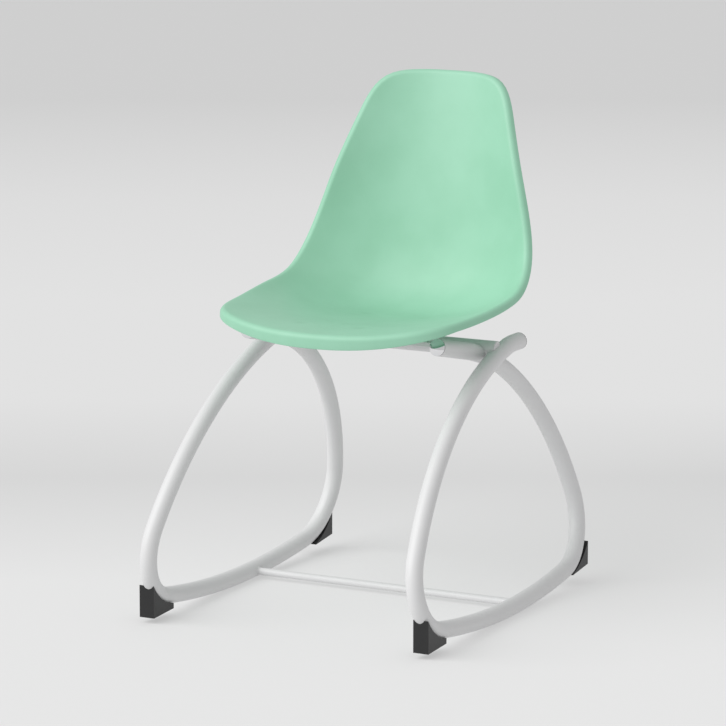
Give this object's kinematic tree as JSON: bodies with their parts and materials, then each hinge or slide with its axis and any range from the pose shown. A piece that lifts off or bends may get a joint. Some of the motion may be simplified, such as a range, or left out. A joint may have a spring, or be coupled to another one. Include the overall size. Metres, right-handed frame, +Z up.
{
  "type": "child's rocking chair",
  "caption": "Child's rocking chair: one-piece plastic bucket seat on a bent tube frame whose side loops form the rockers, with rubber stops that limit the rocking.",
  "frame": {"origin": "on the floor at the middle of the chair: halfway between the two rockers, at the height and the depth of their lowest points", "axes": "+Z up, +X to the right as seen from the front, -Y towards the front edge of the seat; in millimetres in the source and metres in the row"},
  "size_m": [0.416, 0.5087, 0.6695],
  "materials": {
    "mint_plastic": "moulded polypropylene in mint green, satin",
    "white_paint": "smooth white powder coat, satin",
    "black_rubber": "matt black",
    "cap_chrome": "polished",
    "screw_steel": "zinc plated",
    "insert_brass": "turned"
  },
  "bodies": {
    "root": {"seat_shell": "mint_plastic", "boss_inserts": "insert_brass", "seat_rail_left": "white_paint", "seat_rail_right": "white_paint", "seat_screws": "screw_steel", "seat_washers": "screw_steel", "side_tube_left": "white_paint", "side_tube_right": "white_paint", "rear_cross_tube": "white_paint", "front_cross_bar": "white_paint", "lower_stretcher": "white_paint", "front_foot_left": "black_rubber", "front_foot_right": "black_rubber", "rear_foot_left": "black_rubber", "rear_foot_right": "black_rubber", "foot_screws": "screw_steel", "front_cap_left": "cap_chrome", "front_cap_right": "cap_chrome", "rear_cap_left": "cap_chrome", "rear_cap_right": "cap_chrome"}
  },
  "joints": []
}
